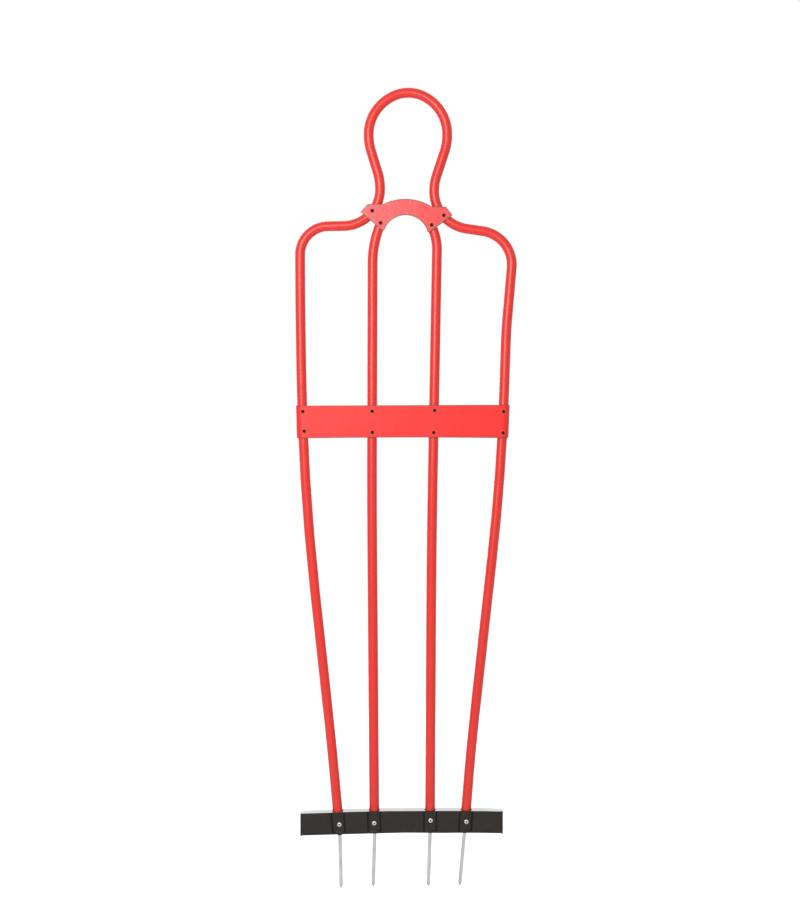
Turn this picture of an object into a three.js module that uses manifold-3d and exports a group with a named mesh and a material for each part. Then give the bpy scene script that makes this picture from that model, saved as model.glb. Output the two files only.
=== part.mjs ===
// Free kick mannequin: a flat figure of bent plastic tube on a black foot bar with four ground spikes.
// Millimetres, +Z up. The origin is the middle of the foot bar's underside, on the turf line.
// The front, with the collar plate, chest band and rivet heads, faces -Y.
import * as THREE from 'three';
import { mergeVertices } from 'three/addons/utils/BufferGeometryUtils.js';
import Module from 'manifold-3d';

const wasm = await Module();
wasm.setup();

// Gaps and facets
const fit = 0.3; // gap between pieces that touch
const overrun = 3; // how far a cutter runs past what it cuts
const bendTolerance = 0.25; // how far a facet may lie off a true arc
const tubeSides = 16;
const boreSides = 10;
const roundSides = 12;
const rivetSides = 8;

// Tube
const tubeDiameter = 22.4;
const tubeWall = 2.5;
const tubeRadius = tubeDiameter / 2;
const boreRadius = tubeRadius - tubeWall;
const boreFlat = boreRadius * Math.cos(Math.PI / boreSides); // to the middle of a facet

// Outer tube, bent by hand, so its two sides differ a little. Each entry is a corner of the centre
// line before it is rounded: its distance from the middle line, its height and its bend radius.
const outerLeft = {
  ankle: { out: 139.5 },
  knee: { out: 157.5, up: 195, radius: 6000 },
  waist: { out: 222.1, up: 790.4, radius: 5280 },
  armpit: { out: 227.8, up: 1183, radius: 3000 },
  shoulder: { out: 228.8, up: 1358.8, radius: 64 },
  collar: { up: 1362.4, radius: 83 },
  neck: { out: 48.4, up: 1463.5, radius: 130 },
  jaw: { up: 1547.2, radius: 130 },
};
const outerRight = {
  ankle: { out: 141.5 },
  knee: { out: 155.2, up: 177.5, radius: 6000 },
  waist: { out: 224.5, up: 804.1, radius: 5000 },
  armpit: { out: 235.5, up: 1126.4, radius: 1000 },
  shoulder: { out: 253.9, up: 1338.5, radius: 76.5 },
  collar: { up: 1365.4, radius: 85.5 },
  neck: { out: 73.2, up: 1457.2, radius: 112 },
  jaw: { up: 1545.6, radius: 121 },
};

// Head loop, an oval that stands a little to the right of the foot's middle
const headMiddle = 14.2;
const headHalf = 88.3;
const headTop = 1660.4;
const crownShift = 1.6; // of the crown to the right of the head's middle
const crownRadius = 78.8;
const crownHalfTurn = THREE.MathUtils.degToRad(24.4);
const templeRadius = 95;

// Inner tube, one long loop whose arch lies behind the collar plate
const innerLeft = {
  ankle: { out: 61.1 },
  waist: { out: 66.8, up: 744.4, radius: 20000 },
  rise: { out: 65.1, up: 1321.5, radius: 230 },
  arch: { out: 33.2, radius: 60 },
};
const innerRight = {
  ankle: { out: 63.8 },
  waist: { out: 67.5, up: 654.4, radius: 25000 },
  rise: { out: 80, up: 1329.4, radius: 118 },
  arch: { out: 50.9, radius: 60 },
};
const archOverCollar = 39; // the arch's top over the outer tube's left collar bend

// Collar plate, a flat arch riveted across both tubes
const plateThickness = 2.5;
const collarTilt = THREE.MathUtils.degToRad(-2.1);
const collarShift = -3.2; // from the middle of its outer rivets
const collarDrop = 0.7; // of its lobes' points below the same rivets
const lobeHalfSpan = 101.1;
const lobeTopHalf = 86.6;
const lobeTopRise = 17.1;
const collarArchHalf = 54.9;
const collarArchRise = 14.5; // of the outer arch over the lobes' tops
const lobeTipHalf = 51.3;
const lobeTipDrop = 39.8;
const collarCutDrop = 1.6; // from the lobes' points down to the top of the inner arch
const outerRivetDropLeft = 8.2; // below the arch's centre line
const outerRivetDropRight = 18.6;
const innerRivetDropLeft = 35.6;
const innerRivetDropRight = 40.3;

// Chest band, a strip across the front whose ends hook round the outer tubes
const bandThickness = 2.5;
const bandBottom = 885.6;
const bandHeight = 70;
const bandHookTurn = THREE.MathUtils.degToRad(205);

// The band's upper and lower rivet on each tube: over the band's lower edge, and to the right of
// the tube's centre line
const bandRivets = [
  [{ up: 57.5, right: 2 }, { up: 13.5, right: 3.4 }],
  [{ up: 58, right: 0 }, { up: 10.6, right: 0.7 }],
  [{ up: 60, right: 0.9 }, { up: 10.4, right: 0 }],
  [{ up: 57.3, right: 0 }, { up: 9.7, right: 0.9 }],
];

// Foot bar, a hollow black profile with a pocket pressed round each tube
const footLength = 454;
const footDepth = 30;
const footHeight = 47;
const footWall = 2.5;
const footEdge = 2.4; // rounding of its long edges
const footEdgeSteps = 2;
const pocketHalf = 12.4;
const pocketCrown = 1.4; // how far a pocket's face bows out
const grooveWidth = 3.2;
const grooveDepth = 4.5;
const tubeHoleClearance = 1.8;
const spikeHoleClearance = 0.7;
const capFlange = 4.6;
const capProud = 0.8;
const capCorner = 2.4;
const capSpigot = 12;
const capSpigotWall = 2;

// Ground spikes and the plugs that hold them in the tubes' ends. Lists run from left to right.
const spikeDiameter = 8;
const spikePoint = 9;
const spikeChamfer = 0.8;
const spikeReach = [128.1, 124.7, 124.7, 123.3]; // below the foot
const spikeLeanDegrees = [-1.4, 1.7, 1.9, 5.6]; // positive leans the tip to the left
const spikeRight = [1.6, 1.6, 1.1, 1.6]; // of the tube's centre line, level with the foot rivet
const spikeHold = 24; // above the rivet
const plugLip = 2;
const plugRoof = 5; // above the spike's end

// Blind rivets
const plateRivet = { shank: 4, head: 8, rise: 1.5, mandrel: 2.2, recess: 0.7, bulb: 6.4, bulbLength: 4.2 };
const footRivet = { shank: 4.8, head: 9.8, rise: 1.7, mandrel: 2.9, recess: 1, bulb: 5.6, bulbLength: 1.8 };
const footRivetUp = [17.3, 20.4, 26.4, 23.6];
const footRivetRight = [1.7, 0, 1.1, 2.1]; // of the tube's centre line

const spikeRadius = spikeDiameter / 2;
const footFront = -footDepth / 2;
const barLength = footLength - 2 * capFlange;
const plateBack = -(tubeRadius + fit);
const bandRadius = tubeRadius + fit;
const punchDepth = Math.max(footDepth / 2, plateThickness - plateBack, bandRadius + bandThickness) + overrun;
const archTop = outerLeft.collar.up + archOverCollar;
const tubeSeat = footWall + fit + plugLip + fit; // height of the tubes' lowest edge

const red = new THREE.MeshStandardMaterial({ color: 0xdc2c28, roughness: 0.32, metalness: 0 });
const redPlate = new THREE.MeshStandardMaterial({ color: 0xe4393a, roughness: 0.5, metalness: 0 });
const black = new THREE.MeshStandardMaterial({ color: 0x2b2a29, roughness: 0.55, metalness: 0 });
const plugGrey = new THREE.MeshStandardMaterial({ color: 0x3a3a3a, roughness: 0.6, metalness: 0 });
const steel = new THREE.MeshStandardMaterial({ color: 0xb9bab8, roughness: 0.35, metalness: 1 });
const aluminium = new THREE.MeshStandardMaterial({ color: 0xdcdcdc, roughness: 0.3, metalness: 1 });
const darkRivet = new THREE.MeshStandardMaterial({ color: 0x241a16, roughness: 0.4, metalness: 0.6 });

const mannequin = new THREE.Group();
mannequin.name = 'free_kick_mannequin';

// Solids

function toSolid(geometry) {
  const bare = geometry.clone();
  bare.deleteAttribute('normal');
  bare.deleteAttribute('uv');
  const merged = mergeVertices(bare);
  const vertProperties = new Float32Array(merged.attributes.position.array);
  const triVerts = new Uint32Array(merged.index.array);
  return new wasm.Manifold(new wasm.Mesh({ numProp: 3, vertProperties, triVerts }));
}

function toGeometry(solid) {
  const { vertProperties, triVerts } = solid.getMesh();
  const geometry = new THREE.BufferGeometry();
  geometry.setAttribute('position', new THREE.BufferAttribute(new Float32Array(vertProperties), 3));
  geometry.setIndex(new THREE.BufferAttribute(new Uint32Array(triVerts), 1));
  geometry.computeVertexNormals();
  return geometry;
}

function addPiece(name, geometry, material) {
  const mesh = new THREE.Mesh(geometry, material);
  mesh.name = name;
  mannequin.add(mesh);
  return mesh;
}

function ringOfPoints(radius, sides) {
  const points = [];
  for (let i = 0; i < sides; i++) {
    const angle = (2 * Math.PI * i) / sides;
    points.push(new THREE.Vector2(radius * Math.cos(angle), radius * Math.sin(angle)));
  }
  return points;
}

// Points of an arc in a plane, both ends included
function arcPoints(centre, radius, from, to, steps) {
  const points = [];
  for (let i = 0; i <= steps; i++) {
    const angle = THREE.MathUtils.lerp(from, to, i / steps);
    const across = centre.x + radius * Math.cos(angle);
    const along = centre.y + radius * Math.sin(angle);
    points.push(new THREE.Vector2(across, along));
  }
  return points;
}

// Points of the shallow arc over a chord, which bows out by rise to the left of its direction
function bowPoints(start, end, rise, steps) {
  const half = start.distanceTo(end) / 2;
  const radius = (half * half + rise * rise) / (2 * rise);
  const along = end.clone().sub(start).normalize();
  const side = new THREE.Vector2(-along.y, along.x);
  const middle = start.clone().add(end).multiplyScalar(1 / 2);
  const centre = middle.clone().addScaledVector(side, rise - radius);
  const halfTurn = Math.asin(half / radius);
  const points = [];
  for (let i = 0; i <= steps; i++) {
    const angle = THREE.MathUtils.lerp(-halfTurn, halfTurn, i / steps);
    const point = centre.clone().addScaledVector(along, radius * Math.sin(angle));
    points.push(point.addScaledVector(side, radius * Math.cos(angle)));
  }
  return points;
}

// A round cutter or rod from one point towards a direction
function rod(start, direction, length, radius, sides) {
  const geometry = new THREE.CylinderGeometry(radius, radius, length, sides);
  geometry.rotateY(Math.PI / 2);
  geometry.translate(0, length / 2, 0);
  const turn = new THREE.Quaternion();
  turn.setFromUnitVectors(new THREE.Vector3(0, 1, 0), direction.clone().normalize());
  geometry.applyQuaternion(turn);
  geometry.translate(start.x, start.y, start.z);
  return toSolid(geometry);
}

// Round holes that run from before the front to the tubes' middle plane
function punchFromFront(solid, places, radius) {
  let result = solid;
  for (const place of places) {
    const start = new THREE.Vector3(place.x, -punchDepth, place.z);
    const hole = rod(start, new THREE.Vector3(0, 1, 0), punchDepth, radius, roundSides);
    result = result.subtract(hole);
  }
  return result;
}

// Tube routes

// Rounds each corner of a centre line, with no bend longer than its two legs allow, and returns the
// stations along it: a point and a direction each, closest together in the tight bends.
function roundCorners(corners) {
  const points = corners.map((corner) => new THREE.Vector3(corner.x, 0, corner.z));
  const legs = points.slice(1).map((point, i) => point.clone().sub(points[i]));
  const turns = corners.map((corner, i) => {
    const inside = i > 0 && i < corners.length - 1;
    return inside ? legs[i - 1].angleTo(legs[i]) : 0;
  });
  const wanted = corners.map((corner, i) => (corner.radius ?? 0) * Math.tan(turns[i] / 2));
  const room = legs.map((leg, i) => Math.min(1, leg.length() / (wanted[i] + wanted[i + 1])));
  const stations = [{ point: points[0], direction: legs[0].clone().normalize() }];
  for (let i = 1; i < corners.length - 1; i++) {
    const share = Math.min(room[i - 1], room[i]);
    const tangent = wanted[i] * share;
    const radius = corners[i].radius * share;
    const into = legs[i - 1].clone().normalize();
    const outOf = legs[i].clone().normalize();
    const axis = into.clone().cross(outOf).normalize();
    const start = points[i].clone().addScaledVector(into, -tangent);
    const centre = start.clone().addScaledVector(axis.clone().cross(into), radius);
    const facetTurn = 2 * Math.acos(1 - bendTolerance / radius);
    const steps = Math.ceil(turns[i] / facetTurn);
    for (let step = 0; step <= steps; step++) {
      const angle = (turns[i] * step) / steps;
      const point = start.clone().sub(centre).applyAxisAngle(axis, angle).add(centre);
      const direction = into.clone().applyAxisAngle(axis, angle);
      const last = stations[stations.length - 1].point;
      if (point.distanceTo(last) > tubeWall) {
        stations.push({ point, direction });
      }
    }
  }
  stations.push({ point: points[points.length - 1], direction: legs[legs.length - 1].normalize() });
  return stations;
}

// A curve that an extrusion follows station by station
class Route extends THREE.Curve {
  constructor(stations) {
    super();
    this.stations = stations;
  }

  stationAt(u) {
    return this.stations[Math.round(u * (this.stations.length - 1))];
  }

  getPointAt(u) {
    return this.stationAt(u).point.clone();
  }

  getTangentAt(u) {
    return this.stationAt(u).direction.clone();
  }
}

// The first corner of a side is where its lowest leg reaches the tube's seat in the foot
function seatCorner(ankle, next) {
  const slope = (next.out - ankle.out) / next.up;
  const up = tubeSeat + tubeRadius * Math.abs(Math.sin(Math.atan(slope)));
  return { out: ankle.out + slope * up, up };
}

function towardsSide(side, corners) {
  return corners.map((corner) => ({ x: side * corner.out, z: corner.up, radius: corner.radius }));
}

function outerSide(side, bends) {
  const templeOut = headHalf + side * headMiddle;
  const crownCentre = headTop - crownRadius;
  const joinOut = crownRadius * Math.sin(crownHalfTurn);
  const joinUp = crownCentre + crownRadius * Math.cos(crownHalfTurn);
  const templeUp = joinUp - (headHalf - joinOut) * Math.tan(crownHalfTurn);
  return towardsSide(side, [
    seatCorner(bends.ankle, bends.knee),
    bends.knee,
    bends.waist,
    bends.armpit,
    bends.shoulder,
    { ...bends.collar, out: bends.neck.out },
    bends.neck,
    { ...bends.jaw, out: templeOut },
    { out: templeOut, up: templeUp, radius: templeRadius },
  ]);
}

function innerSide(side, bends) {
  return towardsSide(side, [
    seatCorner(bends.ankle, bends.waist),
    bends.waist,
    bends.rise,
    { ...bends.arch, up: archTop },
  ]);
}

const crownCorner = {
  x: headMiddle + crownShift,
  z: headTop - crownRadius + crownRadius / Math.cos(crownHalfTurn),
  radius: crownRadius,
};
const outerRoute = roundCorners([
  ...outerSide(-1, outerLeft),
  crownCorner,
  ...outerSide(1, outerRight).reverse(),
]);
const innerRoute = roundCorners([...innerSide(-1, innerLeft), ...innerSide(1, innerRight).reverse()]);

// Where a route crosses a height on its left or right side, with its direction there, upwards
function crossing(route, side, height) {
  const order = side < 0 ? route : [...route].reverse();
  const above = order.findIndex((station) => station.point.z > height);
  const low = order[above - 1].point;
  const high = order[above].point;
  const direction = high.clone().sub(low).normalize();
  const point = low.clone().lerp(high, (height - low.z) / (high.z - low.z));
  return { point, direction, slope: direction.x / direction.z };
}

const tubeEnds = [
  { route: outerRoute, side: -1 },
  { route: innerRoute, side: -1 },
  { route: innerRoute, side: 1 },
  { route: outerRoute, side: 1 },
];
const feet = tubeEnds.map((end, i) => crossing(end.route, end.side, footRivetUp[i]));

function toTheRight(point, distance) {
  return new THREE.Vector3(point.x + distance, point.y, point.z);
}

// Rivet and spike places, at the depth of the tubes' centre lines

const collarOuterPlaces = [
  crossing(outerRoute, -1, archTop - outerRivetDropLeft).point,
  crossing(outerRoute, 1, archTop - outerRivetDropRight).point,
];
const collarInnerPlaces = [
  crossing(innerRoute, -1, archTop - innerRivetDropLeft).point,
  crossing(innerRoute, 1, archTop - innerRivetDropRight).point,
];
const bandPlaces = tubeEnds.map((end, i) =>
  bandRivets[i].map(({ up, right }) =>
    toTheRight(crossing(end.route, end.side, bandBottom + up).point, right),
  ),
);
const footPlaces = feet.map((foot, i) => toTheRight(foot.point, footRivetRight[i]));
const spikePlaces = feet.map((foot, i) => toTheRight(foot.point, spikeRight[i]));

// Tubes

function makeTube(name, route, places, footRivets) {
  const section = new THREE.Shape(ringOfPoints(tubeRadius, tubeSides));
  section.holes.push(new THREE.Path(ringOfPoints(boreRadius, boreSides)));
  const extrudePath = new Route(route);
  const geometry = new THREE.ExtrudeGeometry(section, { steps: route.length - 1, extrudePath });
  let solid = toSolid(geometry);
  solid = punchFromFront(solid, places, plateRivet.shank / 2 + fit);
  solid = punchFromFront(solid, footRivets, footRivet.shank / 2 + fit);
  addPiece(name, toGeometry(solid), red);
}

makeTube(
  'outer_tube',
  outerRoute,
  [...collarOuterPlaces, ...bandPlaces[0], ...bandPlaces[3]],
  [footPlaces[0], footPlaces[3]],
);
makeTube(
  'inner_tube',
  innerRoute,
  [...collarInnerPlaces, ...bandPlaces[1], ...bandPlaces[2]],
  [footPlaces[1], footPlaces[2]],
);

// Collar plate

function makeCollarPlate() {
  const right = [
    new THREE.Vector2(lobeTipHalf, -lobeTipDrop),
    new THREE.Vector2(lobeHalfSpan, 0),
    new THREE.Vector2(lobeTopHalf, lobeTopRise),
  ];
  const left = right.map((point) => new THREE.Vector2(-point.x, point.y)).reverse();
  const archEnd = new THREE.Vector2(collarArchHalf, lobeTopRise);
  const archStart = new THREE.Vector2(-collarArchHalf, lobeTopRise);
  const overArch = bowPoints(archStart, archEnd, collarArchRise, roundSides).reverse();
  const cutRise = lobeTipDrop - collarCutDrop;
  const cut = bowPoints(left[left.length - 1], right[0], cutRise, tubeSides).slice(1, -1);
  const outline = [...right, ...overArch, ...left, ...cut];
  const geometry = new THREE.ExtrudeGeometry(new THREE.Shape(outline), {
    depth: plateThickness,
    bevelEnabled: false,
  });
  geometry.rotateX(Math.PI / 2);
  geometry.translate(0, plateBack, 0);
  geometry.rotateY(-collarTilt);
  const [first, second] = collarOuterPlaces;
  geometry.translate((first.x + second.x) / 2 + collarShift, 0, (first.z + second.z) / 2 - collarDrop);
  const places = [...collarOuterPlaces, ...collarInnerPlaces];
  const solid = punchFromFront(toSolid(geometry), places, plateRivet.shank / 2 + fit);
  addPiece('collar_plate', toGeometry(solid), redPlate);
}

makeCollarPlate();

// The slope at a place across, which changes evenly from each stop to the next
function slopeAt(stops, x) {
  let slope = stops[0].slope;
  for (let i = 1; i < stops.length; i++) {
    const share = THREE.MathUtils.inverseLerp(stops[i - 1].x, stops[i].x, x);
    slope = THREE.MathUtils.lerp(slope, stops[i].slope, THREE.MathUtils.clamp(share, 0, 1));
  }
  return slope;
}

// Moves each point sideways with its height, so that a piece leans as the tubes beside it do
function leanWithTubes(geometry, stops, level) {
  const position = geometry.attributes.position;
  for (let i = 0; i < position.count; i++) {
    const x = position.getX(i);
    position.setX(i, x + slopeAt(stops, x) * (position.getZ(i) - level));
  }
}

// Chest band

function makeChestBand() {
  const level = bandBottom + bandHeight / 2;
  const left = crossing(outerRoute, -1, level);
  const right = crossing(outerRoute, 1, level);
  const front = -Math.PI / 2;
  const steps = roundSides;
  const outer = bandRadius + bandThickness;
  const leftCentre = new THREE.Vector2(left.point.x, 0);
  const rightCentre = new THREE.Vector2(right.point.x, 0);
  const outline = [
    ...arcPoints(leftCentre, outer, front - bandHookTurn, front, steps),
    ...arcPoints(rightCentre, outer, front, front + bandHookTurn, steps),
    ...arcPoints(rightCentre, bandRadius, front + bandHookTurn, front, steps),
    ...arcPoints(leftCentre, bandRadius, front, front - bandHookTurn, steps),
  ];
  const geometry = new THREE.ExtrudeGeometry(new THREE.Shape(outline), {
    depth: bandHeight,
    bevelEnabled: false,
  });
  geometry.translate(0, 0, bandBottom);
  const stops = [left, right].map((side) => ({ x: side.point.x, slope: side.slope }));
  leanWithTubes(geometry, stops, level);
  const solid = punchFromFront(toSolid(geometry), bandPlaces.flat(), plateRivet.shank / 2 + fit);
  addPiece('chest_band', toGeometry(solid), redPlate);
}

makeChestBand();

// Foot bar

// Plan outline of the bar, inset by a wall: a pocket with a groove on each side before every tube
function barOutline(inset, halfLength) {
  const front = footFront + inset;
  const back = -front;
  const points = [new THREE.Vector2(-halfLength, back), new THREE.Vector2(-halfLength, front)];
  const grooveFloor = footFront + grooveDepth + inset;
  const pocketFace = -(tubeRadius + fit + footWall) + inset;
  for (const foot of feet) {
    const x = crossingAtMiddle(foot);
    const grooveOut = pocketHalf + grooveWidth + inset;
    const grooveIn = pocketHalf - inset;
    points.push(new THREE.Vector2(x - grooveOut, front));
    points.push(new THREE.Vector2(x - grooveOut, grooveFloor));
    points.push(new THREE.Vector2(x - grooveIn, grooveFloor));
    const faceStart = new THREE.Vector2(x + grooveIn, pocketFace + pocketCrown);
    const faceEnd = new THREE.Vector2(x - grooveIn, pocketFace + pocketCrown);
    points.push(...bowPoints(faceStart, faceEnd, pocketCrown, roundSides / 3).reverse());
    points.push(new THREE.Vector2(x + grooveIn, grooveFloor));
    points.push(new THREE.Vector2(x + grooveOut, grooveFloor));
    points.push(new THREE.Vector2(x + grooveOut, front));
  }
  points.push(new THREE.Vector2(halfLength, front));
  points.push(new THREE.Vector2(halfLength, back));
  return new THREE.Shape(points);
}

function crossingAtMiddle(foot) {
  return foot.point.x + foot.slope * (footHeight / 2 - foot.point.z);
}

function spikeDirection(index) {
  const lean = THREE.MathUtils.degToRad(spikeLeanDegrees[index]);
  return new THREE.Vector3(-Math.sin(lean), 0, -Math.cos(lean));
}

function makeFootBar() {
  const stops = feet.map((foot) => ({ x: crossingAtMiddle(foot), slope: foot.slope }));
  stops.unshift({ x: -barLength / 2, slope: 0 });
  stops.push({ x: barLength / 2, slope: 0 });
  const body = new THREE.ExtrudeGeometry(barOutline(0, barLength / 2), {
    depth: footHeight - 2 * footEdge,
    bevelThickness: footEdge,
    bevelSize: footEdge,
    bevelOffset: -footEdge,
    bevelSegments: footEdgeSteps,
  });
  body.translate(0, 0, footEdge);
  leanWithTubes(body, stops, footHeight / 2);
  const cavity = new THREE.ExtrudeGeometry(barOutline(footWall, barLength / 2 + overrun), {
    depth: footHeight - 2 * footWall,
    bevelEnabled: false,
  });
  cavity.translate(0, 0, footWall);
  leanWithTubes(cavity, stops, footHeight / 2);
  let solid = toSolid(body).subtract(toSolid(cavity));
  feet.forEach((foot, i) => {
    const holeRadius = tubeRadius + tubeHoleClearance;
    solid = solid.subtract(rod(foot.point, foot.direction, footHeight, holeRadius, tubeSides));
    const spikeHole = spikeRadius + spikeHoleClearance;
    solid = solid.subtract(rod(spikePlaces[i], spikeDirection(i), footHeight, spikeHole, roundSides));
  });
  solid = punchFromFront(solid, footPlaces, footRivet.shank / 2 + fit);
  addPiece('foot_bar', toGeometry(solid), black);
}

makeFootBar();

// End caps: a flange over the bar's end and a hollow spigot inside it

function roundedRectangle(halfWidth, halfHeight, corner) {
  const points = [];
  const corners = [[1, 1], [-1, 1], [-1, -1], [1, -1]];
  corners.forEach(([across, up], i) => {
    const centre = new THREE.Vector2(across * (halfWidth - corner), up * (halfHeight - corner));
    const from = (i * Math.PI) / 2;
    points.push(...arcPoints(centre, corner, from, from + Math.PI / 2, roundSides / 3));
  });
  return points;
}

function makeEndCap(name, side) {
  const halfDepth = footDepth / 2 + capProud;
  const halfHeight = footHeight / 2;
  const flangeShape = new THREE.Shape(roundedRectangle(halfDepth, halfHeight + capProud, capCorner));
  const flange = new THREE.ExtrudeGeometry(flangeShape, { depth: capFlange - fit, bevelEnabled: false });
  const spigotDepth = footDepth / 2 - footWall - fit;
  const spigotHeight = halfHeight - footWall - fit;
  const outer = roundedRectangle(spigotDepth, spigotHeight, capSpigotWall);
  const spigotShape = new THREE.Shape(outer);
  const innerCorner = capSpigotWall / 2;
  const bore = roundedRectangle(spigotDepth - capSpigotWall, spigotHeight - capSpigotWall, innerCorner);
  spigotShape.holes.push(new THREE.Path(bore));
  const spigot = new THREE.ExtrudeGeometry(spigotShape, {
    depth: capSpigot + capSpigotWall,
    bevelEnabled: false,
  });
  spigot.translate(0, 0, -capSpigot);
  const solid = toSolid(flange).add(toSolid(spigot));
  const mesh = addPiece(name, toGeometry(solid), black);
  mesh.rotation.set(Math.PI / 2, 0, (side * Math.PI) / 2, 'ZXY');
  mesh.position.set(side * (barLength / 2 + fit), 0, halfHeight);
}

makeEndCap('foot_end_cap_left', -1);
makeEndCap('foot_end_cap_right', 1);

// Spikes and plugs

function makeSpike(index) {
  const reach = (spikePlaces[index].z + spikeReach[index]) / Math.abs(spikeDirection(index).z);
  const profile = [
    new THREE.Vector2(0, -reach),
    new THREE.Vector2(spikeRadius, spikePoint - reach),
    new THREE.Vector2(spikeRadius, spikeHold - spikeChamfer),
    new THREE.Vector2(spikeRadius - spikeChamfer, spikeHold),
    new THREE.Vector2(0, spikeHold),
  ];
  const geometry = new THREE.LatheGeometry(profile, roundSides);
  geometry.rotateX(Math.PI / 2);
  const mesh = addPiece(`spike_${index + 1}`, geometry, steel);
  mesh.position.copy(spikePlaces[index]);
  mesh.rotation.y = THREE.MathUtils.degToRad(spikeLeanDegrees[index]);
}

function makePlug(index) {
  const foot = feet[index];
  const seat = tubeEnds[index].side < 0 ? tubeEnds[index].route[0] : tubeEnds[index].route.at(-1);
  const up = foot.direction;
  const down = up.clone().negate();
  const lipTop = seat.point.clone().addScaledVector(down, fit);
  const lipBottom = lipTop.clone().addScaledVector(down, plugLip);
  const length = foot.point.distanceTo(lipBottom) + spikeHold + plugRoof;
  const bodyRadius = boreFlat - fit;
  let solid = rod(lipBottom, up, length, bodyRadius, tubeSides);
  solid = solid.add(rod(lipBottom, up, plugLip, tubeRadius, tubeSides));
  const spikeTop = spikePlaces[index].clone().addScaledVector(spikeDirection(index), -spikeHold - fit);
  const bore = rod(spikeTop, spikeDirection(index), footHeight + spikeHold, spikeRadius + fit, roundSides);
  solid = solid.subtract(bore);
  solid = punchFromFront(solid, [footPlaces[index]], footRivet.bulb / 2 + fit);
  addPiece(`spike_plug_${index + 1}`, toGeometry(solid), plugGrey);
}

feet.forEach((foot, i) => {
  makeSpike(i);
  makePlug(i);
});

// Blind rivets, their heads to the front

function makeRivet(name, place, size, face, tail, material) {
  const shank = size.shank / 2;
  const head = size.head / 2;
  const mandrel = size.mandrel / 2;
  const bulb = size.bulb / 2;
  const grip = face - tail;
  const domeTurn = Math.PI / 6;
  const profile = [
    new THREE.Vector2(0, -grip - size.bulbLength),
    new THREE.Vector2(shank, -grip - size.bulbLength),
    new THREE.Vector2(bulb, -grip),
    new THREE.Vector2(shank, -grip),
    new THREE.Vector2(shank, 0),
    new THREE.Vector2(head, 0),
    new THREE.Vector2(head * Math.cos(domeTurn), size.rise / 2),
    new THREE.Vector2(mandrel, size.rise),
    new THREE.Vector2(mandrel, size.rise - size.recess),
    new THREE.Vector2(0, size.rise - size.recess),
  ];
  const geometry = new THREE.LatheGeometry(profile, rivetSides);
  geometry.rotateX(Math.PI);
  const mesh = addPiece(name, geometry, material);
  mesh.position.set(place.x, -face, place.z);
}

// How far before the tube's middle the bulb of a plate rivet lies, for its place off the centre line
function plateTail(right) {
  const reach = plateRivet.bulb / 2 + right;
  return Math.sqrt(boreFlat ** 2 - reach ** 2) - fit;
}

const collarFace = -plateBack + plateThickness + fit;
const bandFace = bandRadius + bandThickness + fit;
const footFace = tubeRadius + fit + footWall + fit;
const footTail = spikeRadius + 2 * fit + footRivet.bulbLength;

const collarPlaces = [collarOuterPlaces[0], collarInnerPlaces[0], collarInnerPlaces[1], collarOuterPlaces[1]];
collarPlaces.forEach((place, i) => {
  makeRivet(`collar_rivet_${i + 1}`, place, plateRivet, collarFace, plateTail(0), darkRivet);
});
['upper', 'lower'].forEach((row, k) => {
  bandPlaces.forEach((places, i) => {
    const tail = plateTail(bandRivets[i][k].right);
    makeRivet(`band_rivet_${row}_${i + 1}`, places[k], plateRivet, bandFace, tail, darkRivet);
  });
});
footPlaces.forEach((place, i) => {
  makeRivet(`foot_rivet_${i + 1}`, place, footRivet, footFace, footTail, aluminium);
});

export default mannequin;
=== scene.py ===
"""Free kick mannequin: the finish of every surface, around the CAD frame.

Lengths are in metres, +Z is up and the front faces -Y.
"""
import math

import bmesh
import bpy
from mathutils import Matrix, Vector


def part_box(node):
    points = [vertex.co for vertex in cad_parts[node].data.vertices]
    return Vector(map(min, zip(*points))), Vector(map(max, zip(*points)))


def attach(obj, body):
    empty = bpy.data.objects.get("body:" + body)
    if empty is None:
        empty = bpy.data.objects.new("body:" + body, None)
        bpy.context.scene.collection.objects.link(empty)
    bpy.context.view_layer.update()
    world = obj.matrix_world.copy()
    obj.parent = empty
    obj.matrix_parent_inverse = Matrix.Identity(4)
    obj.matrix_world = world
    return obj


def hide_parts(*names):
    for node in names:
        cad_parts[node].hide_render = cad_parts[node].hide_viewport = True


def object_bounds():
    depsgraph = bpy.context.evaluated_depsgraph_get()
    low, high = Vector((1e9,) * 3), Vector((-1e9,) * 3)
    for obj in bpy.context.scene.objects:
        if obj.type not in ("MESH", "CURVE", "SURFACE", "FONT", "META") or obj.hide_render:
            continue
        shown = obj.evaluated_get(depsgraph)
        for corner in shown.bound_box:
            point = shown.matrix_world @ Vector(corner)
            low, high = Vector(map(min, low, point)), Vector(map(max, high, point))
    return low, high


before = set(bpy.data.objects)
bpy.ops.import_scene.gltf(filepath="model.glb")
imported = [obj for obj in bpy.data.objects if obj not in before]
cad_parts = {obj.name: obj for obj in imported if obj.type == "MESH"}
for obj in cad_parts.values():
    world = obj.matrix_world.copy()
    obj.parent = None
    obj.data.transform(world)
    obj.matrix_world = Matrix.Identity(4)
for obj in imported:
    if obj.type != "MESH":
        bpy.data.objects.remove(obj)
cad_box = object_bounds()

BODY = "root"
FRONT = Vector((0, -1, 0))
UP = Vector((0, 0, 1))

# Fineness of the meshes
TUBE_SIDES = 48
ROUND_SIDES = 40
ARCH_STEPS = 32
CORNER_STEPS = 5
CAP_CORNER_STEPS = 8
TURN_STEP = math.radians(1.5)
LEAST_STEP = 0.0003
LEAST_TURN_STEPS = 4
SHARP_ANGLE = math.radians(32)

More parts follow.
